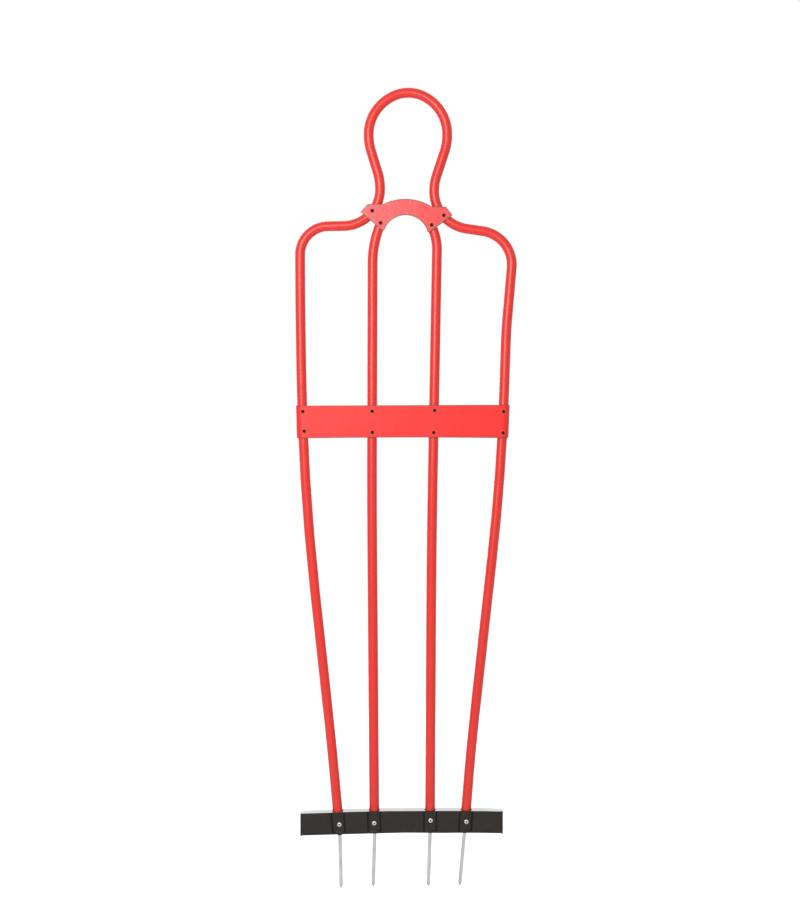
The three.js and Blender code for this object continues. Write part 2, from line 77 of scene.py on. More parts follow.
# Tubes, as in the CAD model: corners of the centre lines, from the ankle up, with their distance
# from the middle line, height and bend radius
TUBE_RADIUS = 0.0112
TUBE_WALL = 0.0025
BORE_RADIUS = TUBE_RADIUS - TUBE_WALL
FIT = 0.0003
OUTER_LEFT = [
    (0.1395, 0, 0),
    (0.1575, 0.195, 6),
    (0.2221, 0.7904, 5.28),
    (0.2278, 1.183, 3),
    (0.2288, 1.3588, 0.064),
    (0.0484, 1.3624, 0.083),
    (0.0484, 1.4635, 0.13),
]
OUTER_RIGHT = [
    (0.1415, 0, 0),
    (0.1552, 0.1775, 6),
    (0.2245, 0.8041, 5),
    (0.2355, 1.1264, 1),
    (0.2539, 1.3385, 0.0765),
    (0.0732, 1.3654, 0.0855),
    (0.0732, 1.4572, 0.112),
]
INNER_LEFT = [
    (0.0611, 0, 0),
    (0.0668, 0.7444, 20),
    (0.0651, 1.3215, 0.23),
    (0.0332, 1.4014, 0.06),
]
INNER_RIGHT = [
    (0.0638, 0, 0),
    (0.0675, 0.6544, 25),
    (0.08, 1.3294, 0.118),
    (0.0509, 1.4014, 0.06),
]
JAW_LEFT = (1.5472, 0.13)
JAW_RIGHT = (1.5456, 0.121)
HEAD_MIDDLE = 0.0142
HEAD_HALF = 0.0883
HEAD_TOP = 1.6604
CROWN_SHIFT = 0.0016
CROWN_RADIUS = 0.0788
CROWN_HALF_TURN = math.radians(24.4)
TEMPLE_RADIUS = 0.095

# Collar plate: the CAD model's, its outline drawn again a little finer. From its rounded edge
# inwards come a darker rim, the width over which it fades, and the last trace of it. The darker
# rim is partly the cut edge's own colour and partly painted shade; along the lower edges the
# fade is painted shade.
PLATE_THICKNESS = 0.0025
PLATE_EDGE = 0.0005
PLATE_WEAR_AND_SHADE = 0.0012
PLATE_FADE = 0.0015
PLATE_SHADE = 0.0002
# How dark the fade stays along the collar's lower edges: painted shade.
LOWER_EDGE_PAINTED_SHADE = 0.4
COLLAR_TILT = math.radians(-2.1)
COLLAR_SHIFT = -0.0032
COLLAR_DROP = 0.0007
LOBE_HALF_SPAN = 0.1032
LOBE_SIDE_DROP = 0.0005
LOBE_TOP_HALF = 0.0878
LOBE_TOP_RISE = 0.0179
COLLAR_ARCH_HALF = 0.0549
COLLAR_ARCH_RISE = 0.0145
LOBE_TIP_HALF = 0.0527
LOBE_TIP_DROP = 0.0409
COLLAR_CUT_HALF = 0.0489
COLLAR_CUT_DROP = 0.0041
COLLAR_CUT_RISE = 0.036
COLLAR_CORNER = 0.0016
COLLAR_LEAST_SHARE = 0.125

# Chest band: the CAD model's, a little taller. Its top edge rises to the right, and its bottom
# edge dips towards both ends.
BAND_THICKNESS = 0.0025
BAND_BOTTOM = 0.8849
BAND_HEIGHT = 0.0715
BAND_HOOK_TURN = math.radians(205)
BAND_STEP = 0.008
HOOK_STEP = math.radians(4.5)
# The band's edges are darker over a width: partly the cut edge's own colour, partly painted shade.
BAND_WEAR_AND_SHADE = 0.0009
BAND_FADE = 0.0006
BAND_TOP_RISE = 0.0007
BAND_TOP_SLOPE = 0.0038
BAND_DIP_MIDDLE = 0.024
BAND_DIP_CURVE = 0.031
BAND_WARP_REACH = 0.2

# Foot bar: the CAD model's, with rounded edges and its real unevenness
FOOT_DEPTH = 0.03
FOOT_HEIGHT = 0.047
FOOT_WALL = 0.0025
FOOT_EDGE = 0.0007
FOOT_SWELL = 0.0008
FOOT_EDGE_STEPS = 5
FOOT_RIM = 0.0005
POCKET_HALF = 0.0124
POCKET_CROWN = 0.0014
GROOVE_WIDTH = 0.0032
GROOVE_DEPTH = 0.0045
GROOVE_FLOOR_HALF = GROOVE_WIDTH / 8
TUBE_HOLE_RADIUS = TUBE_RADIUS + 0.0018
SPIKE_HOLE_CLEARANCE = 0.0007
PLUG_LIP = 0.002
POCKET_STEPS = 14
FOOT_STEP = 0.015
CREASE_START = 0.0042
CREASE_RISE = 0.0016
CREASE_FALL = 0.002
CREASE_MARGIN = 0.0006
CREASE_STEPS = 4
SAG_START = 0.01
SAG_SLOPE = 0.029
SAG_EASE = 0.01
SAG_RIGHT_START = 0.1
SAG_RIGHT_CURVE = 0.09
# (place across, height): how much higher the top is, how much lower the underside is, and how far
# the top rises from its front to its back
TOP_LIFTS = [
    (-0.2224, 0.0006),
    (-0.17, 0.0006),
    (-0.12, 0.0013),
    (-0.035, 0.0007),
    (0, -0.0002),
    (0.2, 0.0003),
]
BOTTOM_DROPS = [
    (-0.1, 0),
    (-0.036, 0.0002),
    (0.03, 0.0003),
    (0.086, 0.0009),
    (0.12, 0.0005),
    (0.187, 0.0001),
]
BACK_RISES = [(-0.2224, 0), (-0.2, 0.0009), (0.2, 0.0009), (0.2224, 0)]
# The dark lips at the spikes stand partly for a lip and partly for the shade under the bar, painted
# shade as a dark part.
LIP_WIDTH = 0.0008
LIP_DROPS = [0.005, 0.0035, 0.0035, 0.0035]
CAP_SPIGOT = 0.012
CAP_WALL = 0.002
CAP_EDGE = 0.0008
CAP_EDGE_STEPS = 5

# Spikes: the point narrows by a power of its length, and is worn more towards its tip
SPIKE_POINT = 0.009
SPIKE_CHAMFER = 0.0008
SPIKE_STEPS = 16
POINT_POWER = 1.8
POINT_SHARES = (0.05, 0.2, 0.45, 0.7, 0.9, 0.985)
POINT_WEAR = [0.1, 0.2, 0.25, 0.35, 0.4, 0.5, 0.6]

# Rivets: shares of the head's radius, the dome's rise, the shank and the mandrel's hole
RIVET_FLANGE = 0.0012
RIVET_FLANGE_RISE = 0.0004
RIVET_RISE_SHARE = 0.36
RIVET_TAIL_SHARE = 0.9
RIVET_DOME_TURNS = (0.25, 0.5, 0.75, 1, 1.25, 1.45)
HOLE_RIM_SHARE = 1.15
HOLE_EDGE_SHARE = 0.8
MANDREL_END_SHARE = 0.3
# Painted light on the rivets: a lighter ring of painted highlight on the dark rivets' flange,
# painted shade on the bright rivets' rim and, near-black, in their mandrel's hole.
DARK_RIVET = {"flange": RIVET_FLANGE, "mandrel_share": 0.3, "rim_painted_light": 1, "mandrel_painted_shade": 0}
BRIGHT_RIVET = {"flange": 0, "mandrel_share": 0.37, "rim_painted_light": 0.75, "mandrel_painted_shade": 1}

# Camera and light, in the photograph's frame
PHOTO_WIDTH = 800
PHOTO_HEIGHT = 914
PHOTO_SCALE = 0.00225
PHOTO_MIDDLE_X = 401.6
PHOTO_TURF_Y = 830.82
CAMERA_DISTANCE = 3.65
SENSOR = 36
CLIP_END = 100
ROOM_FRONT = 0.6
ROOM_SIDE = 0.3
ROOM_FADE = (-0.5, 0.1)
BACKDROP_FADE = (0.6, 0.85)
FLOOR_HALF = 8
FLOOR_GLOW = 0.7
KEY_SOFTBOX = {
    "place": (-0.85, -2.6, 1.7),
    "target": (0, 0, 1.15),
    "size": (1.6, 1.35),
    "power": 56,
}
BACK_SOFTBOX = {
    "place": (0, 2.6, 0.7),
    "target": (0, 0, 0.3),
    "size": (2.2, 0.9),
    "power": 12.2,
}


# Meshes

def face_outward(mesh):
    """Turns the faces of a closed mesh outward."""
    tidy = bmesh.new()
    tidy.from_mesh(mesh)
    bmesh.ops.recalc_face_normals(tidy, faces=tidy.faces)
    tidy.to_mesh(mesh)
    tidy.free()


def shade(mesh):
    mesh.shade_smooth()
    mesh.set_sharp_from_angle(angle=SHARP_ANGLE)


def finish_mesh(name, mesh, material, nodes):
    """Shades a mesh, puts it in the scene and lets it stand for its CAD nodes, if it has any."""
    face_outward(mesh)
    shade(mesh)
    mesh.materials.append(material)
    piece = bpy.data.objects.new(name, mesh)
    bpy.context.scene.collection.objects.link(piece)
    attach(piece, BODY)
    if nodes:
        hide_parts(*nodes)
    return piece


def loft(name, rings, closed=False, wear_and_painted_light=None, strips=False):
    """A closed mesh through rings of points, with capped ends unless the last joins the first.
    UVs are in metres. wear_and_painted_light gives each ring's value of the attribute that marks
    wearing and painted light. strips caps the ends with strips from front to back, for rings that
    start at the back's left corner."""
    count = len(rings[0])
    points = [point for ring in rings for point in ring]
    rows = len(rings)
    spans = rows if closed else rows - 1
    along = [0]
    for i in range(spans):
        here, after = rings[i], rings[(i + 1) % rows]
        along.append(along[-1] + (after[0] - here[0]).length)
    around = [0]
    for i in range(count):
        around.append(around[-1] + (rings[0][(i + 1) % count] - rings[0][i]).length)
    faces = []
    uvs = []
    for i in range(spans):
        low, high = i * count, (i + 1) % rows * count
        for k in range(count):
            after = (k + 1) % count
            faces.append((low + k, low + after, high + after, high + k))
            left, right = around[k], around[k + 1]
            uvs += [left, along[i], right, along[i], right, along[i + 1], left, along[i + 1]]
    if not closed:
        caps = [range(count)]
        if strips:
            caps = [(k, k + 1, count - k, (count + 1 - k) % count) for k in range(1, count // 2)]
        for start in (0, (rows - 1) * count):
            for cap in caps:
                faces.append(tuple(start + k for k in cap))
                for k in cap:
                    uvs += [points[start + k].x, points[start + k].y]
    mesh = bpy.data.meshes.new(name)
    mesh.from_pydata(points, [], faces)
    mesh.uv_layers.new(name="metres").data.foreach_set("uv", uvs)
    worn_and_painted_light = mesh.attributes.new("wear_and_painted_light", "FLOAT", "POINT")
    values = wear_and_painted_light or [0] * rows
    worn_and_painted_light.data.foreach_set("value", [value for value in values for _ in range(count)])
    return mesh


def circle(centre, across, up, radius, sides):
    """Points round a centre, in the plane of two directions."""
    turns = [2 * math.pi * i / sides for i in range(sides)]
    return [centre + radius * (math.cos(t) * across + math.sin(t) * up) for t in turns]


def lathe(centre, axis, profile, sides=ROUND_SIDES):
    """Rings round an axis, for each (distance along it, radius) of a profile."""
    across = axis.orthogonal().normalized()
    up = axis.cross(across)
    return [circle(centre + along * axis, across, up, radius, sides) for along, radius in profile]


def inset(outline, depth):
    """An anticlockwise outline drawn in by a depth, its corners mitred."""
    result = []
    for i, here in enumerate(outline):
        into = (here - outline[i - 1]).normalized()
        out_of = (outline[(i + 1) % len(outline)] - here).normalized()
        first = Vector((-into.y, into.x))
        second = Vector((-out_of.y, out_of.x))
        result.append(here + (first + second) * (depth / (1 + first.dot(second))))
    return result


def bow(start, end, rise, steps):
    """Points of the shallow arc over a chord, which bows out to the left of its direction."""
    half = (end - start).length / 2
    radius = (half ** 2 + rise ** 2) / (2 * rise)
    along = (end - start).normalized()
    side = Vector((-along.y, along.x))
    centre = (start + end) / 2 + side * (rise - radius)
    half_turn = math.asin(half / radius)
    turns = [half_turn * (2 * i / steps - 1) for i in range(steps + 1)]
    return [centre + radius * (math.sin(t) * along + math.cos(t) * side) for t in turns]


# Tube routes

def round_corners(corners):
    """(point, direction) along a line in a plane, for corners of (across, along, radius)."""
    points = [Vector(corner[:2]) for corner in corners]
    legs = [after - here for here, after in zip(points, points[1:])]
    turns = [0] + [legs[i].angle_signed(legs[i + 1]) for i in range(len(legs) - 1)] + [0]
    wanted = [corner[2] * math.tan(abs(turn) / 2) for corner, turn in zip(corners, turns)]
    room = []
    for i, leg in enumerate(legs):
        room.append(min(1, leg.length / max(wanted[i] + wanted[i + 1], leg.length)))
    stations = [(points[0], legs[0].normalized())]
    for i in range(1, len(corners) - 1):
        share = min(room[i - 1], room[i])
        radius = corners[i][2] * share
        into = legs[i - 1].normalized()
        start = points[i] - into * wanted[i] * share
        hand = -math.copysign(1, turns[i])
        centre = start + hand * radius * Vector((-into.y, into.x))
        steps = max(LEAST_TURN_STEPS, math.ceil(abs(turns[i]) / TURN_STEP))
        for step in range(steps + 1):
            turn = Matrix.Rotation(-turns[i] * step / steps, 2)
            point = centre + turn @ (start - centre)
            if (point - stations[-1][0]).length > LEAST_STEP:
                stations.append((point, turn @ into))
    stations.append((points[-1], legs[-1].normalized()))
    return stations


def seat(side):
    """The corners of a side, its first corner moved up to the tube's seat in the foot."""
    (ankle, _, _), (after, up, _) = side[:2]
    slope = (after - ankle) / up
    height = FOOT_WALL + FIT + PLUG_LIP + FIT + TUBE_RADIUS * abs(math.sin(math.atan(slope)))
    return [(ankle + slope * height, height, 0)] + side[1:]


def head_side(side, jaw):
    """A side of the outer tube with its jaw and temple, which meet the crown."""
    sign = -1 if side is OUTER_LEFT else 1
    temple = HEAD_HALF + sign * HEAD_MIDDLE
    join = HEAD_TOP - CROWN_RADIUS * (1 - math.cos(CROWN_HALF_TURN))
    run = HEAD_HALF - CROWN_RADIUS * math.sin(CROWN_HALF_TURN)
    temple_up = join - run * math.tan(CROWN_HALF_TURN)
    corners = seat(side) + [(temple, *jaw), (temple, temple_up, TEMPLE_RADIUS)]
    return [(sign * out, up, radius) for out, up, radius in corners]


crown_up = HEAD_TOP - CROWN_RADIUS + CROWN_RADIUS / math.cos(CROWN_HALF_TURN)
outer_route = round_corners(
    head_side(OUTER_LEFT, JAW_LEFT)
    + [(HEAD_MIDDLE + CROWN_SHIFT, crown_up, CROWN_RADIUS)]
    + head_side(OUTER_RIGHT, JAW_RIGHT)[::-1]
)
inner_route = round_corners(
    [(-out, up, radius) for out, up, radius in seat(INNER_LEFT)]
    + seat(INNER_RIGHT)[::-1]
)


def crossing(route, side, height):
    """Where a route crosses a height on its left or right side, and its slope there."""
    order = route if side < 0 else route[::-1]
    above = next(i for i, (point, _) in enumerate(order) if point.y > height)
    low, high = order[above - 1][0], order[above][0]
    slope = (high.x - low.x) / (high.y - low.y)
    return low.x + slope * (height - low.y), slope


# The tubes' feet from left to right, each a route and its side. Spikes, plugs and rivets are
# numbered alike.
FEET = [(outer_route, -1), (inner_route, -1), (inner_route, 1), (outer_route, 1)]
NUMBERS = range(1, len(FEET) + 1)


def value_at(stops, x):
    """The value at a place across, which changes evenly from each (place, value) to the next."""
    value = stops[0][1]
    for (low, _), (high, high_value) in zip(stops, stops[1:]):
        share = min(max((x - low) / (high - low), 0), 1)
        value += (high_value - value) * share
    return value


def lean(rings, stops, level):
    """Moves points sideways with their height, so that a piece leans as its tubes do. stops are
    the slopes at places across, and level is the height at which nothing moves."""
    for ring in rings:
        for point in ring:
            point.x += value_at(stops, point.x) * (point.z - level)


# Materials

def add_node(tree, kind, inputs, **settings):
    """A node with its settings, its inputs given as values or as the sockets that feed them."""
    node = tree.nodes.new(kind)
    for key, value in settings.items():
        setattr(node, key, value)
    for key, value in inputs.items():
        if isinstance(value, bpy.types.NodeSocket):
            tree.links.new(value, node.inputs[key])
        else:
            node.inputs[key].default_value = value
    return node


def noise(tree, coordinates, scale, detail=3, roughness=0.55):
    """A noise value with its own scale along each axis."""
    stretch = add_node(tree, "ShaderNodeMapping", {"Vector": coordinates, "Scale": scale})
    inputs = {"Vector": stretch.outputs[0], "Scale": 1, "Detail": detail, "Roughness": roughness}
    return add_node(tree, "ShaderNodeTexNoise", inputs).outputs["Fac"]


def spread(tree, value, low, high, start=0.3, end=0.7):
    """A value between start and end, spread over the range from low to high."""
    inputs = {"Value": value, "From Min": start, "From Max": end, "To Min": low, "To Max": high}
    return add_node(tree, "ShaderNodeMapRange", inputs).outputs["Result"]


def blend_colours(tree, share, first, second):
    inputs = {0: share, 6: first, 7: second}
    return add_node(tree, "ShaderNodeMix", inputs, data_type="RGBA").outputs[2]


def bump(tree, height, distance, normal=None):
    inputs = {"Height": height, "Distance": distance, "Strength": 1}
    if normal:
        inputs["Normal"] = normal
    return add_node(tree, "ShaderNodeBump", inputs).outputs[0]


def start_material(name):
    material = bpy.data.materials.new(name)
    material.use_nodes = True
    tree = material.node_tree
    return material, tree, tree.nodes["Principled BSDF"]


def rgb(red, green, blue):
    return (red, green, blue, 1)


def object_place(tree):
    return add_node(tree, "ShaderNodeTexCoord", {}).outputs["Object"]


def surface_place(tree):
    """The UVs in metres, which run round a piece and along it."""
    return add_node(tree, "ShaderNodeUVMap", {}, uv_map="metres").outputs[0]


def edge_wear_and_painted_light(tree):
    """The attribute that marks wearing (the spikes' points) and painted light (the sheets' darker
    edges in part, the rivets' rims and mandrel holes).
    """
    return add_node(tree, "ShaderNodeAttribute", {}, attribute_name="wear_and_painted_light").outputs["Fac"]


def tube_plastic():
    """Drawn pipe, red all through: fine lines along it, slow changes of shade and light scuffs."""
    material, tree, shader = start_material("red_pipe")
    uv = surface_place(tree)
    place = object_place(tree)
    cloud = spread(tree, noise(tree, place, (9, 9, 5)), 0, 1)
    colour = blend_colours(tree, cloud, rgb(0.72, 0.0185, 0.0095), rgb(0.77, 0.0225, 0.0115))
    lines = noise(tree, uv, (1400, 6, 1))
    colour = blend_colours(tree, spread(tree, lines, 0, 0.18), colour, rgb(0.61, 0.014, 0.009))
    scuff = spread(tree, noise(tree, uv, (260, 60, 1), 5, 0.7), 0, 0.14, 0.66, 0.8)
    colour = blend_colours(tree, scuff, colour, rgb(0.86, 0.11, 0.085))
    tree.links.new(colour, shader.inputs["Base Color"])
    shine = spread(tree, noise(tree, place, (30, 30, 12)), 0.29, 0.33)
    tree.links.new(shine, shader.inputs["Roughness"])
    fine = bump(tree, lines, 0.000006)
    waves = noise(tree, place, (60, 60, 25), 2)
    tree.links.new(bump(tree, waves, 0.00006, fine), shader.inputs["Normal"])
    shader.inputs["Specular IOR Level"].default_value = 0.5
    return material


def sheet_plastic(name, low, high, specular, roughness):
    """Cut sheet, red all through: a satin face, a faint grain and darker cut edges, partly painted
    shade.
    """
    material, tree, shader = start_material(name)
    place = object_place(tree)
    cloud = spread(tree, noise(tree, place, (22, 22, 14), 4), 0, 1)
    colour = blend_colours(tree, cloud, low, high)
    brushed = noise(tree, place, (420, 420, 30))
    colour = blend_colours(tree, spread(tree, brushed, 0, 0.22), colour, rgb(0.93, 0.048, 0.038))
    # The darker edge colour is partly the cut edge's own and partly painted shade.
    worn_and_painted_light = edge_wear_and_painted_light(tree)
    colour = blend_colours(tree, worn_and_painted_light, colour, rgb(0.3, 0.045, 0.037))
    tree.links.new(colour, shader.inputs["Base Color"])
    shine = spread(tree, noise(tree, place, (60, 60, 25)), roughness - 0.03, roughness + 0.03)
    tree.links.new(shine, shader.inputs["Roughness"])
    fine = bump(tree, noise(tree, place, (1600, 1600, 1600), 2), 0.00002)
    waves = noise(tree, place, (45, 45, 30))
    tree.links.new(bump(tree, waves, 0.0003, fine), shader.inputs["Normal"])
    shader.inputs["Specular IOR Level"].default_value = specular
    return material


def black_plastic():
    """Moulded black plastic with a fine grain, a little dust and a sheen."""
    material, tree, shader = start_material("black_moulding")
    place = object_place(tree)
    cloud = spread(tree, noise(tree, place, (50, 50, 70), 5, 0.65), 0, 1)
    colour = blend_colours(tree, cloud, rgb(0.0105, 0.0065, 0.0045), rgb(0.016, 0.0105, 0.008))
    dust = spread(tree, noise(tree, place, (900, 900, 900), 3, 0.7), 0, 0.3, 0.66, 0.82)
    colour = blend_colours(tree, dust, colour, rgb(0.06, 0.056, 0.053))
    tree.links.new(colour, shader.inputs["Base Color"])
    shine = spread(tree, noise(tree, place, (120, 120, 120)), 0.4, 0.52)
    tree.links.new(shine, shader.inputs["Roughness"])
    grain = bump(tree, noise(tree, place, (1500, 1500, 1500), 2), 0.00006)
    tree.links.new(grain, shader.inputs["Normal"])
    shader.inputs["Specular IOR Level"].default_value = 0
    shader.inputs["Coat Weight"].default_value = 1
    shader.inputs["Coat IOR"].default_value = 1.33
    shader.inputs["Coat Roughness"].default_value = 0.1
    return material


def plug_plastic():
    """Plain dark grey moulded plastic, out of sight in the tubes' ends."""
    material, tree, shader = start_material("grey_moulding")
    place = object_place(tree)
    cloud = spread(tree, noise(tree, place, (200, 200, 200)), 0, 1)
    colour = blend_colours(tree, cloud, rgb(0.035, 0.035, 0.035), rgb(0.055, 0.055, 0.055))
    tree.links.new(colour, shader.inputs["Base Color"])
    shader.inputs["Roughness"].default_value = 0.6
    return material


def spike_steel():
    """Drawn steel rod: fine lines along it, dull patches and a darker ground point."""
    material, tree, shader = start_material("spike_steel")
    uv = surface_place(tree)
    place = object_place(tree)
    cloud = spread(tree, noise(tree, place, (60, 60, 35), 4), 0, 1)
    colour = blend_colours(tree, cloud, rgb(0.38, 0.381, 0.367), rgb(0.48, 0.481, 0.468))
    worn_and_painted_light = edge_wear_and_painted_light(tree)
    colour = blend_colours(tree, worn_and_painted_light, colour, rgb(0.16, 0.15, 0.13))
    tree.links.new(colour, shader.inputs["Base Color"])
    shine = spread(tree, noise(tree, uv, (3000, 40, 1)), 0.25, 0.38)
    tree.links.new(shine, shader.inputs["Roughness"])
    tree.links.new(bump(tree, noise(tree, uv, (4000, 60, 1)), 0.00001), shader.inputs["Normal"])
    shader.inputs["Metallic"].default_value = 1
    return material


def rivet_finish(name, colour, painted_light_colour, metallic, specular, roughness):
    """A rivet's finish, with painted light in another colour on its rim and its mandrel's end."""
    material, tree, shader = start_material(name)
    place = object_place(tree)
    cloud = spread(tree, noise(tree, place, (700, 700, 700)), 0, 0.05)
    worn_and_painted_light = edge_wear_and_painted_light(tree)
    mixed = blend_colours(tree, cloud, colour, painted_light_colour)
    tree.links.new(blend_colours(tree, worn_and_painted_light, mixed, painted_light_colour), shader.inputs["Base Color"])
    shine = spread(tree, noise(tree, place, (500, 500, 500)), *roughness)
    tree.links.new(shine, shader.inputs["Roughness"])
    tree.links.new(spread(tree, worn_and_painted_light, metallic, 0, 0, 1), shader.inputs["Metallic"])
    shader.inputs["Specular IOR Level"].default_value = specular
    return material


tube_red = tube_plastic()
band_red = sheet_plastic(
    "red_sheet",
    low=rgb(0.82, 0.013, 0.0085),
    high=rgb(0.87, 0.018, 0.012),
    specular=0.36,
    roughness=0.38,
)
# The collar plate is the band's red sheet; its paler base colour is painted sheen where it faces
# the key light.
collar_red = sheet_plastic(
    "red_sheet_painted_sheen",
    low=rgb(0.78, 0.023, 0.022),
    high=rgb(0.84, 0.031, 0.03),
    specular=0.5,
    roughness=0.28,
)
foot_black = black_plastic()
plug_grey = plug_plastic()
steel = spike_steel()
# Its pinkish grey second colour is a painted highlight on the flange.
dark_lacquer = rivet_finish(
    "dark_lacquer",
    colour=rgb(0.055, 0.009, 0.002),
    painted_light_colour=rgb(0.52, 0.13, 0.1),
    metallic=0,
    specular=0.04,
    roughness=(0.45, 0.6),
)
# Its near-black second colour is painted shade on the rim and in the mandrel's hole.
bright_alloy = rivet_finish(
    "bright_alloy",
    colour=rgb(0.6, 0.595, 0.585),
    painted_light_colour=rgb(0.012, 0.012, 0.012),
    metallic=0.6,
    specular=0.1,
    roughness=(0.25, 0.4),
)


# Tubes

def make_tube(name, route):
    outer = []
    bore = []
    for point, direction in route:
        centre = Vector((point.x, 0, point.y))
        across = Vector((direction.y, 0, -direction.x))
        outer.append(circle(centre, FRONT, across, TUBE_RADIUS, TUBE_SIDES))
        bore.append(circle(centre, FRONT, across, BORE_RADIUS, TUBE_SIDES))
    mesh = loft(name + "_pipe", outer + bore[::-1], closed=True)
    finish_mesh(name + "_pipe", mesh, tube_red, [name])


make_tube("outer_tube", outer_route)
make_tube("inner_tube", inner_route)


# Collar plate

def node_middle(node):
    low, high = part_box(node)
    return (low + high) / 2


def rounded_outline(outline, radii, steps):
    """An outline with arcs in place of its corners, one radius for each."""
    result = []
    for i, here in enumerate(outline):
        into = (here - outline[i - 1]).normalized()
        out_of = (outline[(i + 1) % len(outline)] - here).normalized()
        turn = into.angle_signed(out_of)
        if not radii[i]:
            result.append(here)
            continue
        start = here - into * radii[i] * math.tan(abs(turn) / 2)
        hand = -math.copysign(1, turn)
        centre = start + hand * radii[i] * Vector((-into.y, into.x))
        for step in range(steps + 1):
            result.append(centre + Matrix.Rotation(-turn * step / steps, 2) @ (start - centre))
    return result


def make_collar_plate():
    right = [
        Vector((LOBE_TIP_HALF, -LOBE_TIP_DROP)),
        Vector((LOBE_HALF_SPAN, -LOBE_SIDE_DROP)),
        Vector((LOBE_TOP_HALF, LOBE_TOP_RISE)),
    ]
    left = [Vector((-point.x, point.y)) for point in right[::-1]]
    arch_end = Vector((COLLAR_ARCH_HALF, LOBE_TOP_RISE))
    arch_start = Vector((-COLLAR_ARCH_HALF, LOBE_TOP_RISE))
    over_arch = bow(arch_start, arch_end, COLLAR_ARCH_RISE, ARCH_STEPS)[::-1]
    cut_end = Vector((COLLAR_CUT_HALF, -COLLAR_CUT_DROP - COLLAR_CUT_RISE))
    cut = bow(Vector((-cut_end.x, cut_end.y)), cut_end, COLLAR_CUT_RISE, ARCH_STEPS)
    outline = right + over_arch + left + cut
    corners = [COLLAR_CORNER] * len(right) + [0] * len(over_arch)
    corners += [COLLAR_CORNER] * len(left) + [0] * len(cut)
    back = -(TUBE_RADIUS + FIT)
    front = back - PLATE_THICKNESS
    worn_and_painted_light = PLATE_EDGE + PLATE_WEAR_AND_SHADE
    faded = worn_and_painted_light + PLATE_FADE
    clean = faded + PLATE_SHADE
    # (place front to back, how far the outline is drawn in, darkening above, darkening below). The
    # darkening of the edges is partly the cut edge's own colour and partly painted shade.
    levels = [(back, clean, 0, 0), (back, PLATE_EDGE, 0, 0), (back - PLATE_EDGE, 0, 1, 1)]
    levels += [(front + PLATE_EDGE, 0, 1, 1), (front, PLATE_EDGE, 1, 1), (front, worn_and_painted_light, 1, 1)]
    # Below the middle the darkening fades further in: painted shade along the lower edges.
    levels += [(front, faded, 0, LOWER_EDGE_PAINTED_SHADE), (front, clean, 0, 0)]
    first, second = node_middle("collar_rivet_1"), node_middle("collar_rivet_4")
    across = (first.x + second.x) / 2 + COLLAR_SHIFT
    up = (first.z + second.z) / 2 - COLLAR_DROP
    middle = Vector((across, 0, up))
    turn = Matrix.Rotation(-COLLAR_TILT, 3, "Y")
    rings = []
    wear_and_painted_light = []
    for y, depth, upper, lower in levels:
        radii = [max(corner - depth, corner * COLLAR_LEAST_SHARE) for corner in corners]
        drawn = rounded_outline(inset(outline, depth), radii, CORNER_STEPS)
        rings.append([turn @ Vector((p.x, y, p.y)) + middle for p in drawn])
        wear_and_painted_light += [lower if p.y < 0 else upper for p in drawn]
    mesh = loft("collar_plate_sheet", rings)
    mesh.attributes["wear_and_painted_light"].data.foreach_set("value", wear_and_painted_light)
    finish_mesh("collar_plate_sheet", mesh, collar_red, ["collar_plate"])


make_collar_plate()


# Chest band

def make_chest_band():
    level = BAND_BOTTOM + BAND_HEIGHT / 2
    left, left_slope = crossing(outer_route, -1, level)
    right, right_slope = crossing(outer_route, 1, level)
    path_radius = TUBE_RADIUS + FIT + BAND_THICKNESS / 2
    hook_steps = round(BAND_HOOK_TURN / HOOK_STEP)
    path = []
    for i in range(hook_steps + 1):
        angle = -math.pi / 2 - BAND_HOOK_TURN * (1 - i / hook_steps)
        path.append((left, angle))
    flat_steps = round((right - left) / BAND_STEP)
    for i in range(1, flat_steps):
        path.append((left + (right - left) * i / flat_steps, -math.pi / 2))
    for i in range(hook_steps + 1):
        path.append((right, -math.pi / 2 + BAND_HOOK_TURN * i / hook_steps))
    half = BAND_THICKNESS / 2
    worn_and_shade_up = PLATE_EDGE + BAND_WEAR_AND_SHADE
    # (place through the sheet, height, edge darkening: cut edge colour and painted shade)
    lower = [(-half, worn_and_shade_up + BAND_FADE, 0), (-half, worn_and_shade_up, 1)]
    lower += [(-half, PLATE_EDGE, 1), (-half + PLATE_EDGE, 0, 1)]
    lower += [(-across, up, worn_and_painted_light) for across, up, worn_and_painted_light in lower[::-1]]
    profile = lower + [(-across, BAND_HEIGHT - up, worn_and_painted_light) for across, up, worn_and_painted_light in lower]
    rings = []
    for x, angle in path:
        out = Vector((math.cos(angle), math.sin(angle), 0))
        place = min(max(x, -BAND_WARP_REACH), BAND_WARP_REACH)
        dip = BAND_DIP_CURVE * (place - BAND_DIP_MIDDLE) ** 2
        stretch = 1 + (BAND_TOP_RISE + BAND_TOP_SLOPE * place + dip) / BAND_HEIGHT
        centre = Vector((x, 0, BAND_BOTTOM - dip)) + path_radius * out
        rings.append([centre + across * out + up * stretch * UP for across, up, _ in profile])
    lean(rings, [(left, left_slope), (right, right_slope)], level)
    mesh = loft("chest_band_sheet", rings)
    mesh.attributes["wear_and_painted_light"].data.foreach_set("value", [worn_and_painted_light for _, _, worn_and_painted_light in profile] * len(path))
    finish_mesh("chest_band_sheet", mesh, band_red, ["chest_band"])


make_chest_band()


# Foot bar

